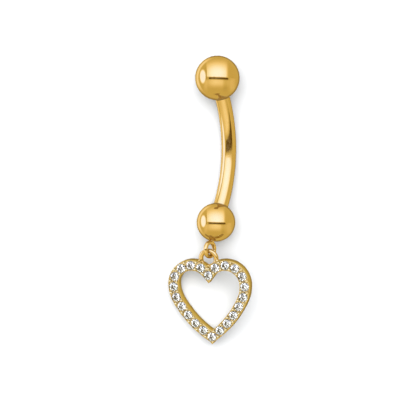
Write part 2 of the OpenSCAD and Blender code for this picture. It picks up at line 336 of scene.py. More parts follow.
def pick_faces(obj, test):
    bpy.ops.mesh.select_mode(type="FACE")
    bpy.ops.mesh.select_all(action="DESELECT")
    shape = bmesh.from_edit_mesh(obj.data)
    for f in shape.faces:
        f.select_set(test(f))
    bmesh.update_edit_mesh(obj.data)


def face_out(obj):
    """Merges doubles and turns all faces outwards."""
    edit(obj)
    bpy.ops.mesh.select_all(action="SELECT")
    bpy.ops.mesh.remove_doubles(threshold=SAME)
    bpy.ops.mesh.normals_make_consistent(inside=False)
    leave()


def grow(levels):
    """Extrudes and resizes what is selected from level to level along Z: (radius, height) each."""
    radius, height = levels[0]
    for next_radius, next_height in levels[1:]:
        bpy.ops.mesh.extrude_region_move(TRANSFORM_OT_translate={"value": (0, 0, next_height - height)})
        share = next_radius / radius
        bpy.ops.transform.resize(value=(share, share, 1), center_override=(0, 0, next_height))
        radius, height = next_radius, next_height


def turned(name, levels, sides=TURNED_SIDES):
    """A turned solid: a disc that grows along Z through the levels."""
    deselect()
    radius, height = levels[0]
    bpy.ops.mesh.primitive_circle_add(
        vertices=sides, radius=radius, fill_type="NGON", location=(0, 0, height)
    )
    obj = made(name)
    edit(obj)
    bpy.ops.mesh.select_all(action="SELECT")
    grow(levels)
    leave()
    face_out(obj)
    return obj


def apply_modifiers(obj):
    choose(obj)
    for m in list(obj.modifiers):
        bpy.ops.object.modifier_apply(modifier=m.name)


def combine(obj, other, operation):
    """Cuts the other solid from this one or unites the two."""
    step = obj.modifiers.new(operation.lower(), "BOOLEAN")
    step.operation = operation
    step.solver = "EXACT"
    if other.data.materials:
        step.material_mode = "TRANSFER"
    step.object = other
    apply_modifiers(obj)
    bpy.data.objects.remove(other)


def joined(name, parts):
    choose(parts[0])
    for p in parts:
        p.select_set(True)
    bpy.ops.object.join()
    obj = bpy.context.object
    obj.name = obj.data.name = name
    return obj


def copies(first, matrices):
    """One copy of a piece at each place, each with its own mesh. The first is used up."""
    parts = []
    for m in matrices:
        part = first.copy()
        part.data = first.data.copy()
        part.data.transform(m)
        bpy.context.scene.collection.objects.link(part)
        parts.append(part)
    bpy.data.objects.remove(first)
    return parts


def melted(obj, voxel, rounds):
    """Fuses overlapping parts into one skin and rounds where they meet, as solder and casting do."""
    skin = obj.modifiers.new("skin", "REMESH")
    skin.mode = "VOXEL"
    skin.voxel_size = voxel
    soften = obj.modifiers.new("soften", "SMOOTH")
    soften.factor = 0.5
    soften.iterations = rounds
    apply_modifiers(obj)
    choose(obj)
    bpy.ops.object.shade_smooth()
    return obj


def smooth(obj):
    """Shades a piece smooth, except over its sharp edges."""
    choose(obj)
    bpy.ops.object.shade_smooth_by_angle(angle=math.radians(SHARP))


def tube(name, places, radii):
    """A round wire through these places, with a radius at each."""
    deselect()
    bpy.ops.curve.primitive_bezier_curve_add(radius=1)
    obj = bpy.context.object
    line = obj.data.splines[0]
    line.bezier_points.add(len(places) - 2)
    for point, place, radius in zip(line.bezier_points, places, radii):
        point.co = place
        point.handle_left_type = point.handle_right_type = "AUTO"
        point.radius = radius
    obj.data.bevel_depth = 1
    obj.data.bevel_resolution = 8
    obj.data.resolution_u = 16
    obj.data.use_fill_caps = True
    bpy.ops.object.convert(target="MESH")
    obj = made(name)
    face_out(obj)
    return obj


def finish_piece(obj, place, body, material, *nodes):
    """Places a piece modelled in millimetres, and hands it to its body."""
    choose(obj)
    obj.matrix_world = place @ Matrix.Scale(MM, 4)
    bpy.ops.object.transform_apply(location=True, rotation=True, scale=True)
    if not obj.data.materials:
        obj.data.materials.append(material)
    if nodes:
        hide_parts(*nodes)
    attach(obj, body)


# The bar's bend and its ends


def bend(s):
    """Radius, rise and run of the bend: one arc whose ends point at the middles of the balls."""
    top_r, drop_r = s.top_ball_d / 2, s.drop_ball_d / 2
    span = s.wear_l + top_r + drop_r
    radius = (span - (top_r + drop_r) * math.cos(s.bar_lean)) / (2 * math.sin(s.bar_lean))
    return SimpleNamespace(
        radius=radius, rise=radius * (1 - math.cos(s.bar_lean)), run=radius * math.sin(s.bar_lean)
    )


def bar_end(s, upper):
    """Frame at the end of the bend, on the ball's surface, with +Y straight out along the bar."""
    b = bend(s)
    run, lean = (b.run, s.bar_lean) if upper else (-b.run, math.pi - s.bar_lean)
    at = move(-b.rise * MM, run * MM, 0)
    return barbell_frame() @ at @ turn(lean, "Z")


def recess_floor(s, ball_r):
    """Depth of the recess's floor below the point where the bar's line meets the ball."""
    reach = s.bar_d / 2 + s.screw_gap
    return ball_r - math.sqrt(ball_r**2 - reach**2) + s.shoulder_sink


Y_TO_Z = turn(math.radians(-90), "X")


# Finishes

# Scales of the patterns in the gold, the stones and the board, in repeats for each metre
STREAKS, HAIRLINES = 900.0, 9000.0
WAVES, CAST_SKIN, TOOL_MARKS = 1400.0, 2600.0, 6000.0
STONE_TINTS = 1600.0
BOARD_MOTTLE = 60.0
# The board's darkest tone as a share of its lightest
BOARD_DARKEST = 0.995
# Height of the gold's soft waves
WAVE_H = 0.012 * MM
# Each gold's roughness where it is smoothest and where it is roughest, and its relief
GOLDS = {
    "polished": (0.05, 0.13, WAVES),
    "cast": (0.07, 0.17, CAST_SKIN),
    "bright": (0.08, 0.16, WAVES),
    "recess": (0.22, 0.42, TOOL_MARKS),
    "pit": (0.3, 0.5, TOOL_MARKS),
    "dull": (0.3, 0.5, TOOL_MARKS),
}


def mix_node(tree, factor, a, b):
    """A colour that goes from a to b as the factor goes from 0 to 1."""
    node = tree.nodes.new("ShaderNodeMix")
    node.data_type = "RGBA"
    tree.links.new(factor, node.inputs[0])
    for socket, value in ((node.inputs[6], a), (node.inputs[7], b)):
        if isinstance(value, bpy.types.NodeSocket):
            tree.links.new(value, socket)
        else:
            socket.default_value = (*value, 1)
    return node.outputs[2]


def noise(tree, where, scale, detail):
    node = tree.nodes.new("ShaderNodeTexNoise")
    node.inputs["Scale"].default_value = scale
    node.inputs["Detail"].default_value = detail
    tree.links.new(where, node.inputs["Vector"])
    return node.outputs["Fac"]


def ramp(tree, value, start, end, low=0.0, high=1.0):
    """A number that goes from low to high as the value goes from start to end."""
    node = tree.nodes.new("ShaderNodeMapRange")
    node.inputs["From Min"].default_value = start
    node.inputs["From Max"].default_value = end
    node.inputs["To Min"].default_value = low
    node.inputs["To Max"].default_value = high
    tree.links.new(value, node.inputs["Value"])
    return node.outputs["Result"]


def new_material(name):
    """A material with its nodes, its shader and the place on the piece that patterns follow."""
    material = bpy.data.materials.new(name)
    material.use_nodes = True
    tree = material.node_tree
    where = tree.nodes.new("ShaderNodeTexCoord").outputs["Object"]
    return material, tree, tree.nodes["Principled BSDF"], where


def gold(s, kind):
    """Gold with faint streaks of a deeper tone, hairline marks and a soft relief."""
    name = kind + "_gold"
    if name in bpy.data.materials:
        return bpy.data.materials[name]
    smoothest, roughest, relief = GOLDS[kind]
    material, tree, shader, where = new_material(name)
    streaks = ramp(tree, noise(tree, where, STREAKS, 3.0), 0.35, 0.7)
    tint = mix_node(tree, streaks, tuple(getattr(s, kind)), tuple(getattr(s, kind + "_deep")))
    tree.links.new(tint, shader.inputs["Base Color"])
    shader.inputs["Metallic"].default_value = 1
    marks = ramp(tree, noise(tree, where, HAIRLINES, 4.0), 0.3, 0.75, smoothest, roughest)
    tree.links.new(marks, shader.inputs["Roughness"])
    bump = tree.nodes.new("ShaderNodeBump")
    bump.inputs["Strength"].default_value = 0.25
    bump.inputs["Distance"].default_value = WAVE_H
    tree.links.new(noise(tree, where, relief, 2.0), bump.inputs["Height"])
    tree.links.new(bump.outputs["Normal"], shader.inputs["Normal"])
    return material


def clear_stone(s):
    """Clear cut stone with a slight change of tint from place to place."""
    material, tree, shader, where = new_material("clear_stone")
    shade = ramp(tree, noise(tree, where, STONE_TINTS, 1.0), 0.4, 0.62)
    tint = mix_node(tree, shade, tuple(s.stone), tuple(s.stone_deep))
    tree.links.new(tint, shader.inputs["Base Color"])
    shader.inputs["Transmission Weight"].default_value = 1
    shader.inputs["Roughness"].default_value = 0
    shader.inputs["IOR"].default_value = 2.2
    return material


# Pieces

# Rows of faces along one turn of the thread, and how steep its flanks are
THREAD_ROWS, FLANK = 10, 1.3
# Bevels of the bar's shoulders and of the recesses' mouths, in millimetres
SHOULDER_EDGE, MOUTH_EDGE = 0.03, 0.025
# Length of the solder and radius of its foot, as shares of the wire, and steps along it
SOLDER_L, SOLDER_R, SOLDER_STEPS = 2, 1.5, 8


def thread_pin(name, s, ball_r, pin_l):
    """A screw pin along Z, from inside the bar's end out into its ball."""
    start = recess_floor(s, ball_r) - s.shoulder_gap
    pin_r = s.pin_d / 2
    neck = start + s.thread_pitch
    end = start + pin_l
    chamfer = s.thread_depth
    step = s.thread_pitch / THREAD_ROWS
    rows = round((end - chamfer - neck) / step)
    levels = [(pin_r - s.thread_depth, start - s.thread_pitch), (pin_r - s.thread_depth, neck)]
    levels += [(pin_r, neck + step * i) for i in range(1, rows + 1)]
    levels += [(pin_r - chamfer, end)]
    obj = turned(name, levels)
    last = neck + step * rows
    for v in obj.data.vertices:
        if neck < v.co.z <= last + SAME:
            turns = math.atan2(v.co.y, v.co.x) / (2 * math.pi)
            crest = abs(2 * ((v.co.z / s.thread_pitch - turns) % 1) - 1)
            radius = pin_r - s.thread_depth * min(1, FLANK * crest)
            v.co.xy = v.co.xy.normalized() * radius
    return obj


class NAVEL_OT_bar(bpy.types.Operator):
    """Model the curved bar with its two threaded pins"""

    bl_idname = "navel.bar"
    bl_label = "Curved bar"

    def dull_end(self, bar, end, start):
        """Paints shade on the bar past a length along its end, where it enters its ball: a dark, rough
        band of gold for the shadow in the crevice there.
        """
        back = end.inverted()
        edit(bar)
        bpy.ops.mesh.select_all(action="SELECT")
        at, outwards = end @ Vector((0, start, 0)), end.to_3x3() @ Vector((0, 1, 0))
        bpy.ops.mesh.bisect(plane_co=at, plane_no=outwards)
        pick_faces(bar, lambda f: (back @ f.calc_center_median()).y > start)
        bar.active_material_index = 1
        bpy.ops.object.material_slot_assign()
        leave()

    def execute(self, context):
        s = sizes(context)
        b = bend(s)
        bar_r = s.bar_d / 2
        top_r, drop_r = s.top_ball_d / 2, s.drop_ball_d / 2
        over_top = (recess_floor(s, top_r) - s.shoulder_gap) / b.radius
        over_drop = (recess_floor(s, drop_r) - s.shoulder_gap) / b.radius
        deselect()
        bpy.ops.mesh.primitive_circle_add(
            vertices=BAR_SIDES, radius=bar_r, rotation=(math.radians(90), 0, 0)
        )
        bar = made("curved_bar")
        to_end = turn(-s.bar_lean - over_drop, "Z")
        bar.data.transform(move(-b.radius, 0, 0) @ to_end @ move(b.radius, 0, 0))
        edit(bar)
        bpy.ops.mesh.select_all(action="SELECT")
        bpy.ops.mesh.spin(
            steps=BEND_STEPS,
            angle=-(2 * s.bar_lean + over_top + over_drop),
            center=(-b.radius, 0, 0),
            axis=(0, 0, 1),
        )
        pick_edges(bar, lambda e: e.is_boundary)
        bpy.ops.mesh.edge_face_add()
        bpy.ops.mesh.bevel(offset=SHOULDER_EDGE, segments=2, affect="EDGES")
        leave()
        face_out(bar)
        bar.data.materials.append(gold(s, "polished"))
        # Second slot: the dark gold painted as shade where the bar enters each ball
        bar.data.materials.append(gold(s, "dull"))
        frame_in_mm = Matrix.Scale(1 / MM, 4) @ barbell_frame().inverted()
        for upper, ball_r, pin_l in ((True, top_r, s.top_pin_l), (False, drop_r, s.drop_pin_l)):
            end = frame_in_mm @ bar_end(s, upper) @ Matrix.Scale(MM, 4)
            shade_from = recess_floor(s, ball_r) - s.shoulder_sink - s.seam_w
            self.dull_end(bar, end, shade_from)
            pin = thread_pin("pin", s, ball_r, pin_l)
            pin.data.materials.append(gold(s, "polished"))
            pin.data.transform(end @ Y_TO_Z)
            combine(bar, pin, "UNION")
        smooth(bar)
        finish_piece(bar, barbell_frame(), "barbell", gold(s, "polished"), "bar")
        return {"FINISHED"}


def bored_ball(name, s, ball_r, pin_l):
    """A ball along Z from the end of the bar, with a recess for the bar and a hole for its pin."""
    recess_r = s.bar_d / 2 + s.screw_gap
    hole_r = s.pin_d / 2 + s.screw_gap
    floor_z = recess_floor(s, ball_r)
    mouth_z = floor_z - s.shoulder_sink
    end_z = floor_z + pin_l + s.pin_end_gap
    deselect()
    bpy.ops.mesh.primitive_uv_sphere_add(
        segments=BALL_SIDES, ring_count=BALL_RINGS, radius=ball_r, location=(0, 0, ball_r)
    )
    ball = made(name)
    edit(ball)
    bpy.ops.mesh.select_all(action="SELECT")
    bpy.ops.mesh.bisect(plane_co=(0, 0, mouth_z), plane_no=(0, 0, 1), clear_inner=True)
    pick_edges(ball, lambda e: e.is_boundary)
    grow([(recess_r, mouth_z), (recess_r, floor_z), (hole_r, floor_z), (hole_r, end_z)])
    bpy.ops.mesh.edge_face_add()
    pick_edges(ball, lambda e: all(abs(v.co.z - mouth_z) < SAME for v in e.verts))
    bpy.ops.mesh.bevel(offset=MOUTH_EDGE, segments=3, affect="EDGES")
    leave()
    face_out(ball)
    smooth(ball)
    return ball


class NAVEL_OT_balls(bpy.types.Operator):
    """Model the top ball and the lower ball, each bored for its pin"""

    bl_idname = "navel.balls"
    bl_label = "Balls"

    def execute(self, context):
        s = sizes(context)
        top = bored_ball("top_ball_gold", s, s.top_ball_d / 2, s.top_pin_l)
        finish_piece(top, bar_end(s, True) @ Y_TO_Z, "top_ball", gold(s, "polished"), "top_ball")
        drop = bored_ball("drop_ball_gold", s, s.drop_ball_d / 2, s.drop_pin_l)
        finish_piece(drop, bar_end(s, False) @ Y_TO_Z, "barbell", gold(s, "polished"), "drop_ball")
        return {"FINISHED"}


class NAVEL_OT_ring(bpy.types.Operator):
    """Model the ring that is soldered to the lower ball"""

    bl_idname = "navel.ring"
    bl_label = "Ring"

    def execute(self, context):
        s = sizes(context)
        wire_r = s.ring_wire / 2
        ring_r = s.ring_od / 2 - wire_r
        reach = s.drop_ball_d / 2 + s.ring_od / 2 - s.ring_sink
        deselect()
        bpy.ops.mesh.primitive_torus_add(
            major_radius=ring_r,
            minor_radius=wire_r,
            major_segments=RING_STEPS,
            minor_segments=WIRE_SIDES,
        )
        ring = made("ring")
        solder_l, solder_r = SOLDER_L * s.ring_wire, SOLDER_R * s.ring_wire
        flare = []
        for i in range(SOLDER_STEPS + 1):
            left = 1 - i / SOLDER_STEPS
            flare.append((wire_r + (solder_r - wire_r) * left**2, -ring_r - solder_l * left))
        solder = turned("solder", flare)
        solder.data.transform(Y_TO_Z)
        hung = melted(joined("hanging_ring", [ring, solder]), voxel=0.02, rounds=5)
        place = (
            bar_end(s, False)
            @ move(0, s.drop_ball_d / 2 * MM, 0)
            @ turn(s.ring_off, "Z")
            @ turn(-s.ring_turn, "Y")
            @ move(0, reach * MM, 0)
        )
        finish_piece(hung, place, "barbell", gold(s, "polished"))
        return {"FINISHED"}


# The heart's outline: lobe, shoulder and long side, each an arc


def aim(a):
    return Vector((math.cos(a), math.sin(a)))


def heart_arcs(s):
    lobe_at = Vector((s.lobe_spacing / 2, 0))
    shoulder_at = lobe_at + (s.lobe_r - s.shoulder_r) * aim(s.lobe_end)
    side_at = shoulder_at + (s.shoulder_r - s.side_r) * aim(s.shoulder_end)
    return lobe_at, shoulder_at, side_at


def cleft_angle(s, out):
    """Where a lobe's arc, this far outside the row of stones, meets its mirror image in the cleft."""
    return math.pi - math.acos(s.lobe_spacing / 2 / (s.lobe_r + out))


def tip_angle(s, out):
    """Where a long side's arc, this far outside the row of stones, meets its mirror image."""
    side_at = heart_arcs(s)[2]
    return -math.acos(-side_at.x / (s.side_r + out))


# Steps along each arc of one side, and of the straight cut from the inner point to the lobe
LOBE_STEPS, SHOULDER_STEPS, SIDE_STEPS, CUT_STEPS = 48, 14, 30, 12


def flank(s, out, start):
    """Points down the right side at a distance outside the row of stones."""
    lobe_at, shoulder_at, side_at = heart_arcs(s)
    pieces = (
        (lobe_at, s.lobe_r, start, s.lobe_end, LOBE_STEPS),
        (shoulder_at, s.shoulder_r, s.lobe_end, s.shoulder_end, SHOULDER_STEPS),
        (side_at, s.side_r, s.shoulder_end, tip_angle(s, out), SIDE_STEPS),
    )
    points = [lobe_at + (s.lobe_r + out) * aim(start)]
    for at, r, a, b, steps in pieces:
        points += [at + (r + out) * aim(a + (b - a) * i / steps) for i in range(1, steps + 1)]
    return points


def whole_line(right):
    """The right side from the cleft to the tip, and its mirror image back up."""
    left = [Vector((-p.x, p.y)) for p in reversed(right[1:-1])]
    return right + left


def cleft_stone_y(s):
    return s.lobe_r * math.sin(cleft_angle(s, 0))


def outer_line(s):
    half = s.face_w / 2
    right = flank(s, half, cleft_angle(s, half))
    right[-1] = right[-1] - Vector((0, s.tip_point))
    return whole_line(right)


def inner_line(s):
    """The opening's edge, with as many points as the outer edge has."""
    half = s.face_w / 2
    lobe_at = heart_arcs(s)[0]
    point = Vector((0, cleft_stone_y(s) - s.cleft_point))
    away = point - lobe_at
    start = math.atan2(away.y, away.x) - math.acos((s.lobe_r - half) / away.length)
    right = flank(s, -half, start)
    lobe = right[:LOBE_STEPS]
    kept_steps = LOBE_STEPS - CUT_STEPS
    kept = [lobe[round(i * (LOBE_STEPS - 1) / (kept_steps - 1))] for i in range(kept_steps)]
    cut = [point.lerp(lobe[0], i / CUT_STEPS) for i in range(CUT_STEPS)]
    return whole_line(cut + kept + right[LOBE_STEPS:])


def row_place(s, run, out):
    """The place at a length along the row of stones from the cleft, moved outwards."""
    lobe_at, shoulder_at, side_at = heart_arcs(s)
    start = cleft_angle(s, 0)
    lobe_run = s.lobe_r * (start - s.lobe_end)
    shoulder_run = s.shoulder_r * (s.lobe_end - s.shoulder_end)
    if run < lobe_run:
        a, r, at = start - run / s.lobe_r, s.lobe_r, lobe_at
    elif run < lobe_run + shoulder_run:
        a, r, at = s.lobe_end - (run - lobe_run) / s.shoulder_r, s.shoulder_r, shoulder_at
    else:
        a, r, at = s.shoulder_end - (run - lobe_run - shoulder_run) / s.side_r, s.side_r, side_at
    return at + (r + out) * aim(a)


def row_pitch(s):
    """Length along the row from one stone's middle to the next."""
    lobe_run = s.lobe_r * (cleft_angle(s, 0) - s.lobe_end)
    shoulder_run = s.shoulder_r * (s.lobe_end - s.shoulder_end)
    side_run = s.side_r * (s.shoulder_end - tip_angle(s, 0))
    return (lobe_run + shoulder_run + side_run) / (s.side_stones + 1)


def heart_place(s):
    return heart_frame(cleft_stone_y(s), s.crown_share * s.stone_d - s.stone_sink)


def stone_places(s):
    """Every stone's place in the heart's own frame."""
    pitch = row_pitch(s)
    right = [row_place(s, i * pitch, 0) for i in range(s.side_stones + 2)]
    return [Vector((p.x, p.y, -s.stone_sink)) for p in whole_line(right)]


def gap_places(s, out, height):
    """The middle of each gap between two stones, moved outwards from the row and up."""
    pitch = row_pitch(s)
    places = []
    for side in (-1, 1):
        for gap in range(s.side_stones + 1):
            p = row_place(s, (gap + 0.5) * pitch, out)
            places.append(move(side * p.x, p.y, height))
    return places


# Lean of the channel's walls, as a share of its depth
CHANNEL_LEAN = 0.2
# Flare of a seat's mouth, and how far a cutter goes past what it cuts, in millimetres
SEAT_FLARE, OVERRUN = 0.02, 1
# Faces round a pit, and its bottom as a share of its mouth
PIT_SIDES, PIT_POINT = 16, 0.2


class NAVEL_OT_heart(bpy.types.Operator):
    """Model the open heart with its channel, its seats and back holes and the pits between them"""

    bl_idname = "navel.heart"
    bl_label = "Heart"

    def blank(self, s):
        """The heart as cast, with rounded edges and the channel between its two borders."""
        outer, inner = outer_line(s), inner_line(s)
        deselect()
        bpy.ops.mesh.primitive_circle_add(vertices=len(outer), radius=1)
        heart = made("heart_gold")
        for v, p in zip(heart.data.vertices, outer):
            v.co = (p.x, p.y, 0)
        edit(heart)
        bpy.ops.mesh.select_all(action="SELECT")
        bpy.ops.mesh.extrude_region_move()
        leave()
        for v, p in zip(heart.data.vertices[len(outer):], inner):
            v.co = (p.x, p.y, 0)
        edit(heart)
        bpy.ops.mesh.select_all(action="SELECT")
        bpy.ops.mesh.extrude_region_move(TRANSFORM_OT_translate={"value": (0, 0, -s.heart_depth)})
        for height, rounding in ((0, s.edge_round), (-s.heart_depth, s.back_round)):
            pick_edges(
                heart,
                lambda e: all(abs(v.co.z - height) < SAME for v in e.verts)
                and any(abs(f.normal.z) < 0.5 for f in e.link_faces),
            )
            bpy.ops.mesh.bevel(offset=rounding, segments=3, affect="EDGES")
        bpy.ops.mesh.normals_make_consistent(inside=False)
        pick_faces(heart, lambda f: all(abs(v.co.z) < SAME for v in f.verts))
        bpy.ops.mesh.inset(thickness=s.border_w)
        bpy.ops.mesh.inset(thickness=CHANNEL_LEAN * s.channel_h, depth=-s.channel_h)
        heart.data.materials.append(gold(s, "cast"))
        # The floor of the channel takes the recess gold, painted with highlights and shade.
        heart.data.materials.append(gold(s, "recess"))
        heart.active_material_index = 1
        bpy.ops.object.material_slot_assign()
        leave()
        face_out(heart)
        return heart

    def seat_cutters(self, s):
        """What is cut away for each stone: its conical seat and the open hole behind it."""
        seat_r = s.stone_d / 2 + s.seat_gap
        back_r = s.back_hole_d / 2
        floor_z = -s.girdle_share * s.stone_d - s.seat_gap
        cone_h = 2 * (seat_r - back_r) * s.pavilion_share
        rim = s.stone_sink
        levels = [
            (seat_r + SEAT_FLARE, OVERRUN),
            (seat_r + SEAT_FLARE, rim),
            (seat_r, rim - SEAT_FLARE),
            (seat_r, floor_z),
            (back_r, floor_z - cone_h),
            (back_r, -s.heart_depth - OVERRUN),
        ]
        seat = turned("seat", levels)
        # The seats' walls take the recess gold, painted with highlights and shade.
        seat.data.materials.append(gold(s, "recess"))
        return joined("seats", copies(seat, [Matrix.Translation(p) for p in stone_places(s)]))

    def pit_cutters(self, s):
        """What is cut away between each stone and the next."""
        pit_r = s.pit_d / 2
        levels = [(pit_r, s.pit_h), (pit_r, 0), (PIT_POINT * pit_r, -s.pit_h)]
        pit = turned("pit", levels, PIT_SIDES)
        # The cuts' walls take the pit gold, painted with shade and highlights.
        pit.data.materials.append(gold(s, "pit"))
        return joined("pits", copies(pit, gap_places(s, 0, 0)))

    def execute(self, context):
        s = sizes(context)
        heart = self.blank(s)
        combine(heart, self.seat_cutters(s), "DIFFERENCE")
        combine(heart, self.pit_cutters(s), "DIFFERENCE")
        smooth(heart)
        finish_piece(heart, heart_place(s), "barbell", gold(s, "cast"), "heart_frame")
        return {"FINISHED"}


class NAVEL_OT_beads(bpy.types.Operator):
    """Model the beads that hold the stones, two between each stone and the next"""

    bl_idname = "navel.beads"
    bl_label = "Beads"

    def execute(self, context):
        s = sizes(context)
        deselect()
        bpy.ops.mesh.primitive_uv_sphere_add(
            segments=BEAD_SIDES, ring_count=BEAD_RINGS, radius=s.bead_d / 2
        )
        bead = made("bead")
        edge = (s.face_w - s.bead_d) / 2 - s.bead_inset
        places = gap_places(s, -edge, s.bead_rise) + gap_places(s, edge, s.bead_rise)
        beads = joined("heart_beads", copies(bead, places))
        smooth(beads)
        # The beads' pale gold is a painted highlight.
        finish_piece(beads, heart_place(s), "barbell", gold(s, "bright"))
        return {"FINISHED"}


# Where a bail's leg starts: this share of the way out to the arch, and this much above the
# arch's middle, in millimetres, with this share of the arch's thickness
LEG_IN, LEG_UP, LEG_THIN = 0.98, 0.12, 0.9
# How far a leg's middle lies outside the arch and above half its height, in millimetres
LEG_OUT, LEG_RISE = 0.03, 0.1


class NAVEL_OT_bail(bpy.types.Operator):
    """Model the bail that stands on the cleft and hangs in the ring"""

    bl_idname = "navel.bail"
    bl_label = "Bail"

    def execute(self, context):
        s = sizes(context)
        wire_r = s.wire / 2
        arch_r = s.open_w / 2 + wire_r
        saddle_top = outer_line(s)[0].y - s.saddle_sink + wire_r
        arch_y = saddle_top + s.open_h - s.open_w / 2
        depth = -s.heart_depth / 2
        deselect()
        bpy.ops.mesh.primitive_torus_add(
            location=(0, arch_y, depth),
            major_radius=arch_r,
            minor_radius=wire_r,
            major_segments=RING_STEPS,
            minor_segments=WIRE_SIDES,
        )
        parts = [made("arch")]
        foot_y = arch_y - math.sqrt(s.leg_l**2 - s.spread**2)
        middle_y = (arch_y + foot_y) / 2
        radii = [wire_r * LEG_THIN, (wire_r + s.foot_d / 2) / 2, s.foot_d / 2]
        for side in (-1, 1):
            places = [
                (side * arch_r * LEG_IN, arch_y + LEG_UP, depth),
                (side * (arch_r + LEG_OUT), middle_y + LEG_RISE, depth),
                (side * (arch_r + s.spread), foot_y, depth),
            ]
            parts.append(tube("leg", places, radii))
        bail = melted(joined("heart_bail", parts), voxel=0.025, rounds=6)
        finish_piece(bail, heart_place(s), "barbell", gold(s, "polished"))
        return {"FINISHED"}


class NAVEL_OT_stones(bpy.types.Operator):
    """Give the stones their clear cut finish"""

    bl_idname = "navel.stones"
    bl_label = "Stones"

    def execute(self, context):
        material = clear_stone(sizes(context))
        for name in STONES:
            stone = frame["nodes"][name]
            for i in range(len(stone.material_slots)):
                stone.material_slots[i].link = "OBJECT"
                stone.material_slots[i].material = material
        return {"FINISHED"}


# Stage: surface, light from all round and camera

# The tent's own brightness between its panels
TENT_GREY = 0.30
# How much the slot and the panels beside it drop for each step across
SLANT = 0.03
# How fast the wide panel dims to both sides
DIMMING = 2.5
# Scale of the glints that show through the stones
GLINTS = 5.0
# A ray with more reflections than this came by way of two gold surfaces
ONE_REFLECTION = 1.5


class LightTent:
    """Nodes that say how bright the tent round the object is in each direction.

    A direction is given by the place on a polished ball, seen from above, that mirrors it:
    across and along are shares of the ball's radius, and rim is the distance from the middle.
    Slanted is the height above a line that slopes as the slot and the panels beside it do.
    """

    def __init__(self, tree):
        self.tree = tree
        self.where = tree.nodes.new("ShaderNodeTexCoord").outputs["Generated"]
        split = tree.nodes.new("ShaderNodeSeparateXYZ")
        tree.links.new(self.where, split.inputs[0])
        x, y, z = split.outputs
        height = self.maths("ADD", self.maths("MULTIPLY", z, 2.0), 2.0)
        reach = self.maths("SQRT", self.maths("MAXIMUM", height, 0.0001))
        self.across = self.maths("DIVIDE", x, reach)
        self.along = self.maths("DIVIDE", y, reach)
        self.slanted = self.maths("ADD", self.along, self.maths("MULTIPLY", self.across, SLANT))
        low = self.maths("MULTIPLY", self.maths("SUBTRACT", 1.0, z), 0.5)
        self.rim = self.maths("SQRT", self.maths("MAXIMUM", low, 0.0))

    def maths(self, operation, a, b=0.0):
        node = self.tree.nodes.new("ShaderNodeMath")
        node.operation = operation
        for socket, value in zip(node.inputs, (a, b)):
            if isinstance(value, (int, float)):
                socket.default_value = value
            else:
                self.tree.links.new(value, socket)
        return node.outputs[0]

    def step(self, value, start, end):
        """0 before start and 1 after end, or the other way round if start is larger."""
        node = self.tree.nodes.new("ShaderNodeMapRange")
        node.interpolation_type = "SMOOTHSTEP"
        low, high = (0, 1) if start < end else (1, 0)
        node.inputs["From Min"].default_value = min(start, end)
        node.inputs["From Max"].default_value = max(start, end)
        node.inputs["To Min"].default_value = low
        node.inputs["To Max"].default_value = high
        self.tree.links.new(value, node.inputs["Value"])
        return node.outputs["Result"]

    def patch(self, strength, **edges):
        """A patch of this strength within soft edges: where each one starts and where it is full."""
        found = strength
        for edge, (start, full) in edges.items():
            if edge in ("left", "right"):
                value = self.across
            elif edge in ("foot", "top"):
                value = self.along
            elif edge in ("slanted_foot", "slanted_top"):
                value = self.slanted
            else:
                value = self.rim
            found = self.maths("MULTIPLY", self.step(value, start, full), found)
        return found

    def oval(self, strength, across, along, wide, high, softness):
        """A soft oval patch of light round a place."""
        off = self.maths("DIVIDE", self.maths("SUBTRACT", self.across, across), wide)
        up = self.maths("DIVIDE", self.maths("SUBTRACT", self.along, along), high)
        apart = self.maths("ADD", self.maths("MULTIPLY", off, off), self.maths("MULTIPLY", up, up))
        return self.maths("MULTIPLY", self.step(apart, 1.0, 1.0 - softness), strength)

    def most(self, first, *others):
        found = first
        for other in others:
            found = self.maths("MAXIMUM", found, other)
        return found


def tone(tree, value, stops):
    """A colour that goes from stop to stop as the value goes from 0 to 1."""
    node = tree.nodes.new("ShaderNodeValToRGB")
    points = node.color_ramp.elements
    while len(points) < len(stops):
        points.new(0.5)
    for point, (place, rgb) in zip(points, stops):
        point.position = place
    for point, (place, rgb) in zip(points, stops):
        point.color = (*rgb, 1)
    tree.links.new(value, node.inputs[0])
    return node.outputs[0]


# How the tent's brightness, from 0 to 1, shows in gold and through the stones
IN_GOLD = (
    (0.0, (0.12, 0.064, 0.004)),
    (0.30, (0.645, 0.486, 0.182)),
    (0.42, (0.806, 0.623, 0.318)),
    (0.55, (0.978, 0.801, 0.529)),
    (0.70, (1.06, 0.99, 0.93)),
    (0.85, (1.09, 1.12, 1.38)),
    (1.0, (1.13, 1.19, 1.77)),
)
IN_STONE = (
    (0.0, (0.0, 0.0, 0.0)),
    (0.30, (0.50, 0.51, 0.52)),
    (0.55, (1.5, 1.5, 1.52)),
    (1.0, (4.0, 4.0, 4.1)),
)
# Light on the surface below: from overhead, from all round and thrown back by the gold
OVERHEAD = (4.35, 4.39, 4.46)
ALL_ROUND = (0.42, 0.43, 0.44)
ON_SURFACE = (0.27, 0.29, 0.37)
# Light that reaches the eye by way of two gold surfaces, as where pieces meet
IN_CORNERS = (0.40, 0.34, 0.27)


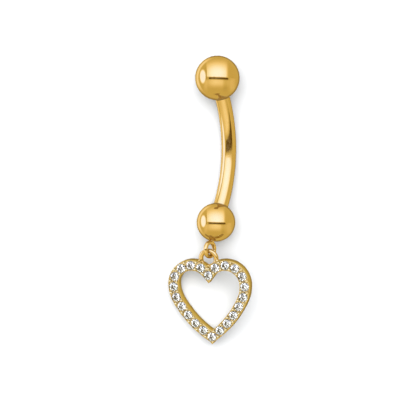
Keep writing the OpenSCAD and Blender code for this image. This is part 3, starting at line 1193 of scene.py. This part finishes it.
def bright_patches(tent):
    """The panels, the window and the light left rim, above the tent's own brightness."""
    off = tent.maths("MULTIPLY", tent.maths("MULTIPLY", tent.across, tent.across), DIMMING)
    dimmed = tent.maths("MAXIMUM", tent.maths("SUBTRACT", 1.0, off), 0.0)
    wide = tent.patch(
        tent.maths("MULTIPLY", dimmed, 0.72),
        left=(-0.50, -0.46),
        right=(0.52, 0.36),
        slanted_foot=(0.006, 0.04),
        top=(0.90, 0.20),
    )
    low = tent.patch(
        0.27, slanted_top=(-0.085, -0.145), foot=(-0.54, -0.22), left=(-0.75, -0.06), right=(0.75, 0.0)
    )
    strip_right = tent.patch(
        0.09, top=(0.0, -0.06), foot=(-0.70, -0.40), left=(0.50, 0.64), right=(0.86, 0.72)
    )
    strip_left = tent.patch(
        0.07, top=(-0.10, -0.16), foot=(-0.70, -0.40), left=(-0.66, -0.56), right=(-0.42, -0.50)
    )
    low = tent.maths("ADD", low, tent.maths("ADD", strip_left, strip_right))
    window = tent.oval(0.74, across=-0.655, along=0.06, wide=0.15, high=0.36, softness=0.7)
    left_rim = tent.patch(0.30, rim=(0.82, 0.88), right=(-0.1, -0.6), foot=(-0.75, -0.2))
    return tent.most(tent.maths("ADD", wide, low), window, left_rim)


def dark_patches(tent):
    """The slot, the two seams and the dark outline, as shares of the light that they take."""
    slot = tent.patch(
        1.0,
        slanted_foot=(-0.094, -0.076),
        slanted_top=(0.003, -0.011),
        left=(-0.40, -0.37),
        right=(0.50, 0.47),
    )
    seam_left = tent.patch(
        0.3, left=(-0.535, -0.505), right=(-0.455, -0.485), foot=(-0.10, -0.04), top=(0.55, 0.25)
    )
    seam_right = tent.patch(
        0.2, left=(0.20, 0.32), right=(0.50, 0.38), top=(-0.06, -0.10), foot=(-0.70, -0.40)
    )
    outline = tent.patch(0.6, rim=(0.90, 0.985))
    return tent.most(slot, seam_left, seam_right, outline)


def make_tent(scene):
    """Light from all round, with what each kind of ray meets mixed in one after the other."""
    world = bpy.data.worlds.new("light_tent")
    scene.world = world
    world.use_nodes = True
    tree = world.node_tree
    tent = LightTent(tree)
    bright = tent.maths("ADD", TENT_GREY, bright_patches(tent))
    dark = tent.maths("SUBTRACT", 1.0, dark_patches(tent))
    level = tent.maths("MULTIPLY", bright, dark)
    glints = ramp(tree, noise(tree, tent.where, GLINTS, 1.0), 0.44, 0.58, low=0.05, high=1.5)
    off_middle = tent.maths("MULTIPLY", tent.step(tent.rim, 0.10, 0.26), level)
    sparkle = tent.maths("MULTIPLY", off_middle, glints)
    rays = tree.nodes.new("ShaderNodeLightPath")
    through = rays.outputs["Is Transmission Ray"]
    glossy = tent.maths("SUBTRACT", rays.outputs["Is Glossy Ray"], through)
    mirrored = tent.maths("MAXIMUM", glossy, 0.0)
    overhead = tent.oval(1.0, across=-0.06, along=0.14, wide=0.42, high=0.42, softness=0.9)
    seen = mix_node(tree, overhead, ALL_ROUND, OVERHEAD)
    again = tent.maths("GREATER_THAN", rays.outputs["Glossy Depth"], ONE_REFLECTION)
    in_gold = mix_node(tree, again, tone(tree, level, IN_GOLD), IN_CORNERS)
    seen = mix_node(tree, mirrored, seen, in_gold)
    scattered = tent.maths("MINIMUM", rays.outputs["Diffuse Depth"], 1.0)
    bounced = tent.maths("MULTIPLY", scattered, mirrored)
    seen = mix_node(tree, bounced, seen, ON_SURFACE)
    seen = mix_node(tree, through, seen, tone(tree, sparkle, IN_STONE))
    plain = mix_node(tree, rays.outputs["Is Camera Ray"], seen, (1.0, 1.0, 1.0))
    tree.links.new(plain, tree.nodes["Background"].inputs["Color"])


def surface_finish(s):
    """Matte white board with the faintest mottling."""
    material, tree, shader, where = new_material("white_board")
    mottle = ramp(tree, noise(tree, where, BOARD_MOTTLE, 3.0), 0.3, 0.7)
    white = tuple(s.floor)
    tint = mix_node(tree, mottle, white, tuple(c * BOARD_DARKEST for c in white))
    tree.links.new(tint, shader.inputs["Base Color"])
    shader.inputs["Roughness"].default_value = 0.9
    shader.inputs["Specular IOR Level"].default_value = 0
    return material


# Width of the surface in metres, and the gap between the part and the surface in millimetres
FLOOR_W, FLOOR_GAP = 4, 0.02
# Middle of the picture and height at which its scale holds, in millimetres
PICTURE_X, PICTURE_Y, SCALE_HEIGHT = -0.9936, 0.0226, 2
# Lens and sensor in millimetres, and the width of the picture in pixels
LENS, SENSOR, PICTURE_W = 200, 36, 400


class NAVEL_OT_stage(bpy.types.Operator):
    """Lay the white surface, the light tent and the camera"""

    bl_idname = "navel.stage"
    bl_label = "Stage"

    def execute(self, context):
        s = sizes(context)
        scene = context.scene
        deselect()
        bpy.ops.mesh.primitive_plane_add(size=FLOOR_W, location=(0, 0, -FLOOR_GAP * MM))
        floor = made("surface")
        floor.data.materials.append(surface_finish(s))
        floor.visible_glossy = False
        make_tent(scene)
        distance = PICTURE_W / s.photo_scale * LENS / SENSOR * MM
        place = (PICTURE_X * MM, PICTURE_Y * MM, distance + SCALE_HEIGHT * MM)
        bpy.ops.object.camera_add(location=place, rotation=(0, 0, 0))
        camera = context.object
        camera.data.lens = LENS
        camera.data.sensor_width = SENSOR
        camera.data.clip_start = 0.01
        camera.data.clip_end = 10
        scene.camera = camera
        scene.view_settings.view_transform = "Standard"
        return {"FINISHED"}


OPERATORS = (
    NAVEL_OT_bar,
    NAVEL_OT_balls,
    NAVEL_OT_ring,
    NAVEL_OT_heart,
    NAVEL_OT_beads,
    NAVEL_OT_bail,
    NAVEL_OT_stones,
    NAVEL_OT_stage,
)


class NAVEL_PT_panel(bpy.types.Panel):
    """Lists the pieces of the navel ring"""

    bl_idname = "NAVEL_PT_panel"
    bl_label = "Navel ring"
    bl_space_type = "VIEW_3D"
    bl_region_type = "UI"
    bl_category = "Navel ring"

    def draw(self, context):
        for operator in OPERATORS:
            self.layout.operator(operator.bl_idname)


def register():
    for group in GROUPS.values():
        bpy.utils.register_class(group)
    for name, group in GROUPS.items():
        setattr(bpy.types.Scene, name, PointerProperty(type=group))
    for operator in OPERATORS:
        bpy.utils.register_class(operator)
    bpy.utils.register_class(NAVEL_PT_panel)


def unregister():
    bpy.utils.unregister_class(NAVEL_PT_panel)
    for operator in reversed(OPERATORS):
        bpy.utils.unregister_class(operator)
    for name, group in GROUPS.items():
        delattr(bpy.types.Scene, name)
        bpy.utils.unregister_class(group)


def main():
    register()
    bpy.ops.navel.bar()
    bpy.ops.navel.balls()
    bpy.ops.navel.ring()
    bpy.ops.navel.heart()
    bpy.ops.navel.beads()
    bpy.ops.navel.bail()
    bpy.ops.navel.stones()
    bpy.ops.navel.stage()


if __name__ == "__main__":
    main()
